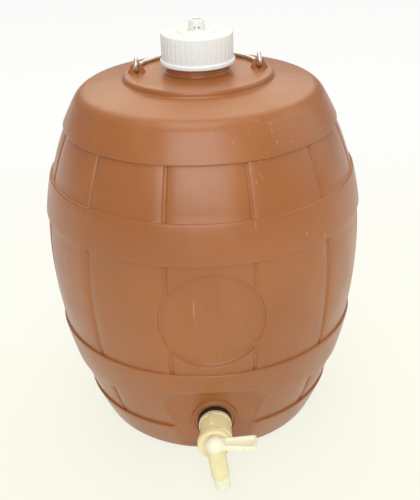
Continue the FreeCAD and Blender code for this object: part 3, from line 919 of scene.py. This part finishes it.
def makePlug():
    radius, bore, boreTop = cock["plugRadius"] - cock["plugGap"], cock["plugBore"], cock["boreTop"]
    top, bottom = cock["sleeveUp"] + cock["float"], -cock["sleeveDown"] - cock["float"]
    spout, tip = cock["spoutRadius"], bottom - cock["spoutLength"]
    half, depth = cock["grooveHalf"], cock["grooveDepth"]
    points = [(0, top), (radius - 0.4, top), (radius, top - 0.4)]
    for place in cock["grooves"]:
        points += [(radius, place + half), (radius - depth, place + half)]
        points += [(radius - depth, place - half), (radius, place - half)]
    points += [(radius, -14), (radius, -20), (radius, bottom)]
    points += bend((spout, bottom), (-0.5, 0), (0, -0.5), 3) + [(spout, bottom - 5), (spout, bottom - 10)]
    points += corner((spout, tip + 4.2), (spout - 0.1, tip), (spout - 2.6, tip), 7)
    points += bend((bore, tip), (0.5, 0), (0, 0.5), 3)
    points += [(bore, -20), (bore, -6), (bore, boreTop), (0, boreTop)]
    plug = turned("spoutPlug", points, 80)
    drive = bevelEdges(squareBar(cock["square"] / 2, top - 1, top + cock["squareHeight"]), 0.3, 2)
    combine(plug, drive, "UNION")
    way = rod(tap["portRadius"], 10, 40, (math.radians(-90), 0, 0), (0, 5, 0))
    combine(plug, setDown(way, (0, 0, math.radians(cock["closedTurn"])), (0, 0, 0)), "DIFFERENCE")
    onCock(plug)
    smooth(plug, 40)
    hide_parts("tap_plug")
    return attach(plug, "cock")


def paddleOutline(inset, start):  # corners of the paddle from above, rounded at its free end
    root, end = lever["rootWidth"] / 2 - inset, lever["endWidth"] / 2 - inset
    reach, size = lever["reach"] - inset, max(lever["corner"] - inset, 0.8)
    points = [(start, -root - (end - root) * start / reach)]
    points += corner((reach - size, -end + 0.25), (reach, -end), (reach, -end + size), 7)
    points += corner((reach, end - size), (reach, end), (reach - size, end - 0.25), 7)
    return points + [(start, root + (end - root) * start / reach)]


def slab(name, outline, low, high):  # a flat piece drawn from above and pulled up to its thickness
    piece = drawPath(name, [(x, y, low) for x, y in outline + [outline[0]]])
    bpy.ops.mesh.edge_face_add()
    bpy.ops.mesh.extrude_region_move(TRANSFORM_OT_translate={"value": (0, 0, (high - low) * mm)})
    faceOutwards()
    return piece


def makeLever():
    base, hub, rise = cock["sleeveUp"] + cock["float"], lever["hubRadius"], lever["dome"]
    low = base + lever["rise"]
    high = low + lever["thick"]
    paddle = bevelEdges(slab("paddle", paddleOutline(0, 0.5), low, high), 0.8, 4, 50)
    tray = slab("tray", paddleOutline(lever["rim"], hub + 1.5), high - lever["trayDepth"], high + 3)
    combine(paddle, bevelEdges(tray, 0.7, 3, 50), "DIFFERENCE")
    curve = (hub ** 2 + rise ** 2) / (2 * rise)
    domeBase, edge, steps = base + lever["hubHeight"], math.asin(hub / curve), lever["domeSteps"]
    points = [(0, base), (hub - 0.6, base), (hub, base + 0.6), (hub, base + 3), (hub, domeBase - 0.8)]
    for k in range(steps):
        angle = edge * (1 - k / steps) * 0.985
        points.append((curve * math.sin(angle), domeBase + rise - curve + curve * math.cos(angle)))
    piece = turned("leverHandle", points + [(0, domeBase + rise)], 80)
    combine(piece, paddle, "UNION")
    gap = cock["squareGap"]
    socket = squareBar(cock["square"] / 2 + gap, base - 2, base + cock["squareHeight"] + gap)
    setDown(socket, (0, 0, math.radians(-lever["swing"])), (0, 0, 0))
    combine(piece, socket, "DIFFERENCE")
    onCock(setDown(piece, (0, 0, math.radians(lever["swing"])), (0, 0, 0)))
    smooth(piece, 35)
    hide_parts("tap_lever")
    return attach(piece, "cock")


tapMoulding = makeTapBody()
tapWasher = makeWasher()
spoutPlug = makePlug()
leverHandle = makeLever()
print("tap modelled")


# Materials

def newMaterial(name):
    material = bpy.data.materials.new(name)
    material.use_nodes = True
    return material, material.node_tree, material.node_tree.nodes["Principled BSDF"]


def feed(tree, node, name, value):  # sets an input, or links another node's output to it
    if isinstance(value, bpy.types.NodeSocket):
        tree.links.new(value, node.inputs[name])
    else:
        node.inputs[name].default_value = value


def addNode(tree, kind, **values):
    node = tree.nodes.new(kind)
    for key, value in values.items():
        if key in node.inputs:
            feed(tree, node, key, value)
        else:
            setattr(node, key, value)
    return node


def objectPlace(tree):
    return addNode(tree, "ShaderNodeTexCoord").outputs["Object"]


def paint(tree, below, above, factor):  # one colour laid over another
    return addNode(tree, "ShaderNodeMix", data_type="RGBA", A=below, B=above, Factor=factor).outputs["Result"]


def compute(tree, operation, *values):
    node = addNode(tree, "ShaderNodeMath", operation=operation)
    for k, value in enumerate(values):
        feed(tree, node, k, value)
    return node.outputs[0]


def between(tree, value, low, high, start=0.0, end=1.0):  # low to high becomes start to end
    limits = {"From Min": low, "From Max": high, "To Min": start, "To Max": end}
    return addNode(tree, "ShaderNodeMapRange", Value=value, **limits).outputs["Result"]


def noise(tree, place, scale, detail=2.0, stretch=None, turn=(0, 0, 0)):
    if stretch:
        mapping = addNode(tree, "ShaderNodeMapping", Vector=place, Rotation=turn, Scale=stretch)
        place = mapping.outputs["Vector"]
    return addNode(tree, "ShaderNodeTexNoise", Scale=scale, Detail=detail, Vector=place).outputs["Fac"]


def roughen(tree, shader, height, strength, distance):
    bump = addNode(tree, "ShaderNodeBump", Strength=strength, Distance=distance, Height=height)
    feed(tree, shader, "Normal", bump.outputs["Normal"])


def mixShaders(tree, factor, first, second):
    node = addNode(tree, "ShaderNodeMixShader")
    for k, value in enumerate((factor, first, second)):
        feed(tree, node, k, value)
    return node.outputs[0]


brownPlastic = {
    "colour": (0.385, 0.130, 0.034, 1),
    "darker": (0.335, 0.108, 0.027, 1),
    "dusty": (0.48, 0.235, 0.10, 1),
    "scuff": (0.66, 0.50, 0.38, 1),
    "roughness": 0.34,
    "coat": 0.25,
    "coatRoughness": 0.3,
    "grainSize": 900.0,
    "seamHalf": 0.00035,
    "seamShare": 0.55,
    "seamRise": 1.6,
    "markShare": 0.3,
}


def seamLine(tree, place):  # the line where the two halves of the mould met
    across = addNode(tree, "ShaderNodeSeparateXYZ", Vector=place).outputs["Y"]
    half = brownPlastic["seamHalf"]
    width = between(tree, noise(tree, place, 60.0, 3.0), 0.3, 0.7, half * 0.5, half * 1.5)
    return compute(tree, "LESS_THAN", compute(tree, "ABSOLUTE", across), width)


def wearMarks(tree, place):  # fine scratches in two directions, and a few pale nicks
    nicks = addNode(tree, "ShaderNodeTexVoronoi", Scale=55.0, Vector=place)
    chance = addNode(tree, "ShaderNodeSeparateColor", Color=nicks.outputs["Color"]).outputs[0]
    near = between(tree, nicks.outputs["Distance"], 0.02, 0.06, 1.0, 0.0)
    marks = compute(tree, "MULTIPLY", near, compute(tree, "GREATER_THAN", chance, 0.96))
    for turn, thin in ((0.35, 0.03), (-0.75, 0.05)):
        lines = noise(tree, place, 420.0, 1.0, (1.0, 1.0, thin), (turn, turn * 0.8, 0.3))
        patch = noise(tree, place, 16.0 + 9.0 * turn, 2.0)
        line = compute(tree, "MULTIPLY", between(tree, lines, 0.71, 0.76), between(tree, patch, 0.56, 0.66))
        marks = compute(tree, "MAXIMUM", marks, line)
    return marks


def makeBrown():
    look = brownPlastic
    material, tree, shader = newMaterial("brownPlastic")
    place = objectPlace(tree)
    seam, marks = seamLine(tree, place), wearMarks(tree, place)
    cloud = noise(tree, place, 7.0, 5.0)
    colour = paint(tree, look["colour"], look["darker"], between(tree, cloud, 0.35, 0.65))
    dust = noise(tree, place, 22.0, 4.0, (1.0, 1.0, 0.25))  # a film in soft streaks
    colour = paint(tree, colour, look["dusty"], between(tree, dust, 0.5, 0.8, 0.0, 0.22))
    colour = paint(tree, colour, look["scuff"], compute(tree, "MULTIPLY", seam, look["seamShare"]))
    colour = paint(tree, colour, look["scuff"], compute(tree, "MULTIPLY", marks, look["markShare"]))
    feed(tree, shader, "Base Color", colour)
    sheen, rough = noise(tree, place, 30.0, 4.0), look["roughness"]
    feed(tree, shader, "Roughness", between(tree, sheen, 0.3, 0.7, rough - 0.04, rough + 0.06))
    feed(tree, shader, "Coat Weight", look["coat"])
    feed(tree, shader, "Coat Roughness", look["coatRoughness"])
    grain = compute(tree, "MULTIPLY", noise(tree, place, look["grainSize"], 2.0), 0.35)
    ripple = compute(tree, "MULTIPLY", noise(tree, place, 14.0, 2.0), 2.2)
    height = compute(tree, "ADD", grain, compute(tree, "MULTIPLY", seam, look["seamRise"]))
    height = compute(tree, "ADD", height, ripple)
    height = compute(tree, "SUBTRACT", height, compute(tree, "MULTIPLY", marks, 0.6))
    roughen(tree, shader, height, 0.5, 0.00025)
    return material


def mouldedPlastic(name, colour, deeper, roughness, scale=45.0, through=0.0):
    material, tree, shader = newMaterial(name)
    place = objectPlace(tree)
    cloud, wear = noise(tree, place, scale, 4.0), noise(tree, place, scale * 4, 3.0)
    feed(tree, shader, "Base Color", paint(tree, colour, deeper, between(tree, cloud, 0.3, 0.75)))
    feed(tree, shader, "Roughness", between(tree, wear, 0.3, 0.7, roughness - 0.05, roughness + 0.08))
    roughen(tree, shader, compute(tree, "ADD", cloud, compute(tree, "MULTIPLY", wear, 0.4)), 0.35, 0.00012)
    if through:  # light goes a little way into the tap's thin plastic
        feed(tree, shader, "Subsurface Weight", through)
        feed(tree, shader, "Subsurface Radius", (0.004, 0.003, 0.0018))
        feed(tree, shader, "Subsurface Scale", 1.0)
    return material


def makeRubber():
    material, tree, shader = newMaterial("blackRubber")
    place = objectPlace(tree)
    bloom = between(tree, noise(tree, place, 90.0, 4.0), 0.45, 0.8)
    feed(tree, shader, "Base Color", paint(tree, (0.012, 0.011, 0.010, 1), (0.045, 0.040, 0.036, 1), bloom))
    feed(tree, shader, "Roughness", 0.55)
    roughen(tree, shader, noise(tree, place, 700.0, 2.0), 0.3, 0.0001)
    return material


def platedMetal(name, colour, tarnish, roughness):
    material, tree, shader = newMaterial(name)
    place = objectPlace(tree)
    spots = noise(tree, place, 160.0, 5.0)
    feed(tree, shader, "Base Color", paint(tree, colour, tarnish, between(tree, spots, 0.5, 0.75)))
    feed(tree, shader, "Roughness", between(tree, spots, 0.4, 0.75, roughness, roughness + 0.2))
    feed(tree, shader, "Metallic", 1.0)
    roughen(tree, shader, noise(tree, place, 500.0, 2.0), 0.25, 0.00008)
    return material


finishes = {
    "barrel_brown": makeBrown(),
    "cap_white": mouldedPlastic("capWhite", (0.87, 0.88, 0.865, 1), (0.84, 0.845, 0.825, 1), 0.42),
    "valve_white": mouldedPlastic("valveWhite", (0.88, 0.88, 0.84, 1), (0.83, 0.83, 0.78, 1), 0.3),
    "tap_cream": mouldedPlastic("tapCream", (0.95, 0.86, 0.52, 1), (0.89, 0.77, 0.43, 1), 0.3, 60.0, 0.3),
    "tap_pale": mouldedPlastic("tapPale", (0.965, 0.95, 0.74, 1), (0.94, 0.91, 0.66, 1), 0.27, 60.0, 0.25),
    "black_rubber": makeRubber(),
    "pin_brass": platedMetal("pinBrass", (0.62, 0.42, 0.16, 1), (0.40, 0.26, 0.10, 1), 0.25),
    "wire_steel": platedMetal("wireSteel", (0.80, 0.77, 0.70, 1), (0.60, 0.56, 0.48, 1), 0.24),
}


def finish(piece, slotName):
    piece.data.materials.clear()
    piece.data.materials.append(finishes[slotName])


slotOf = {entry["node"]: entry["material_slot"] for entry in frame["record"]["subparts"]}
for name, node in frame["nodes"].items():
    finish(node, slotOf[name])
newPieces = {
    barrelBody: "barrel_brown",
    capMoulding: "cap_white",
    gasPost: "valve_white",
    bailWire: "wire_steel",
    tapMoulding: "tap_cream",
    tapWasher: "black_rubber",
    spoutPlug: "tap_pale",
    leverHandle: "tap_pale",
}
for piece, slotName in newPieces.items():
    finish(piece, slotName)
print("materials set")


# Floor, lights and camera

studio = {
    "floorSize": 12,
    "floorColour": (0.93, 0.93, 0.82, 1),
    "nearWhite": (0.975, 0.985, 0.84, 1),
    "farWhite": (0.995, 0.995, 0.985, 1),
    "nearShare": 0.78,
    "farShare": 0.94,
    "worldLight": 0.34,
    "aim": (0, 0, 0.2),
}
lights = {
    "window": {"place": (-0.14, -1.65, 1.25), "size": (1.5, 1.5), "power": 22.0, "tint": (0.93, 0.96, 1.0)},
    "top": {"place": (-0.1, -0.25, 1.9), "size": (1.0, 1.0), "power": 8.0, "tint": (1.0, 0.97, 0.9)},
    "back": {"place": (0.0, 1.1, 1.35), "size": (1.9, 1.5), "power": 13.0, "tint": (1.0, 0.88, 0.68)},
    "side": {"place": (1.25, 0.0, 0.9), "size": (1.2, 1.2), "power": 4.0, "tint": (1.0, 0.96, 0.88)},
}
view = {
    "place": (-0.02485, -0.83720, 0.62020),
    "heading": 2.11,
    "pitch": 27.59,
    "roll": -1.90,
    "lens": 61.2,
}


def makeFloor():  # pale cloth that glows a little for the camera, so that it fades into the white
    deselect()
    bpy.ops.mesh.primitive_plane_add(size=studio["floorSize"], location=(0, 0, 0))
    floor = bpy.context.object
    floor.name = "floor"
    material, tree, shader = newMaterial("paleCloth")
    feed(tree, shader, "Base Color", studio["floorColour"])
    feed(tree, shader, "Roughness", 0.9)
    back = addNode(tree, "ShaderNodeSeparateXYZ", Vector=objectPlace(tree)).outputs["Y"]
    away = between(tree, back, -0.3, 0.9)
    tone = paint(tree, studio["nearWhite"], studio["farWhite"], away)
    glow = addNode(tree, "ShaderNodeEmission", Color=tone)
    path = addNode(tree, "ShaderNodeLightPath")
    seen = compute(tree, "MAXIMUM", path.outputs["Is Camera Ray"], path.outputs["Is Glossy Ray"])
    share = between(tree, away, 0.0, 1.0, studio["nearShare"], studio["farShare"])
    surface = mixShaders(tree, compute(tree, "MULTIPLY", seen, share), shader.outputs[0], glow.outputs[0])
    feed(tree, tree.nodes["Material Output"], "Surface", surface)
    floor.data.materials.append(material)


def addLight(name, look):
    deselect()
    bpy.ops.object.light_add(type="AREA", location=look["place"])
    light = bpy.context.object
    light.name = name + "Light"
    light.data.shape = "RECTANGLE"
    light.data.size, light.data.size_y = look["size"]
    light.data.energy = look["power"]
    light.data.color = look["tint"]
    aim = Vector(studio["aim"]) - Vector(look["place"])
    light.rotation_euler = aim.to_track_quat("-Z", "Y").to_euler()


def setWorld():  # soft light from all round, behind a white that only the camera sees
    world = bpy.context.scene.world or bpy.data.worlds.new("world")
    bpy.context.scene.world = world
    world.use_nodes = True
    tree = world.node_tree
    tree.nodes.clear()
    path = addNode(tree, "ShaderNodeLightPath")
    seen = compute(tree, "MAXIMUM", path.outputs["Is Camera Ray"], path.outputs["Is Transmission Ray"])
    sky = addNode(tree, "ShaderNodeBackground", Color=(1, 1, 1, 1), Strength=studio["worldLight"])
    white = addNode(tree, "ShaderNodeBackground", Color=(1, 1, 1, 1), Strength=1.0)
    addNode(tree, "ShaderNodeOutputWorld", Surface=mixShaders(tree, seen, sky.outputs[0], white.outputs[0]))


def makeCamera():
    deselect()
    bpy.ops.object.camera_add(location=view["place"])
    camera = bpy.context.object
    heading, pitch, roll = [math.radians(view[k]) for k in ("heading", "pitch", "roll")]
    level = math.cos(pitch)
    forward = Vector((math.sin(heading) * level, math.cos(heading) * level, -math.sin(pitch)))
    right = forward.cross(Vector((0, 0, 1))).normalized()
    up = right.cross(forward)
    tiltedRight = right * math.cos(roll) + up * math.sin(roll)
    tiltedUp = up * math.cos(roll) - right * math.sin(roll)
    camera.rotation_euler = Matrix((tiltedRight, tiltedUp, -forward)).transposed().to_euler()
    camera.data.lens = view["lens"]
    camera.data.sensor_width = 36
    camera.data.clip_start = 0.01
    bpy.context.scene.camera = camera


makeFloor()
for name, look in lights.items():
    addLight(name, look)
setWorld()
makeCamera()
bpy.context.scene.view_settings.view_transform = "Standard"
print("studio set")
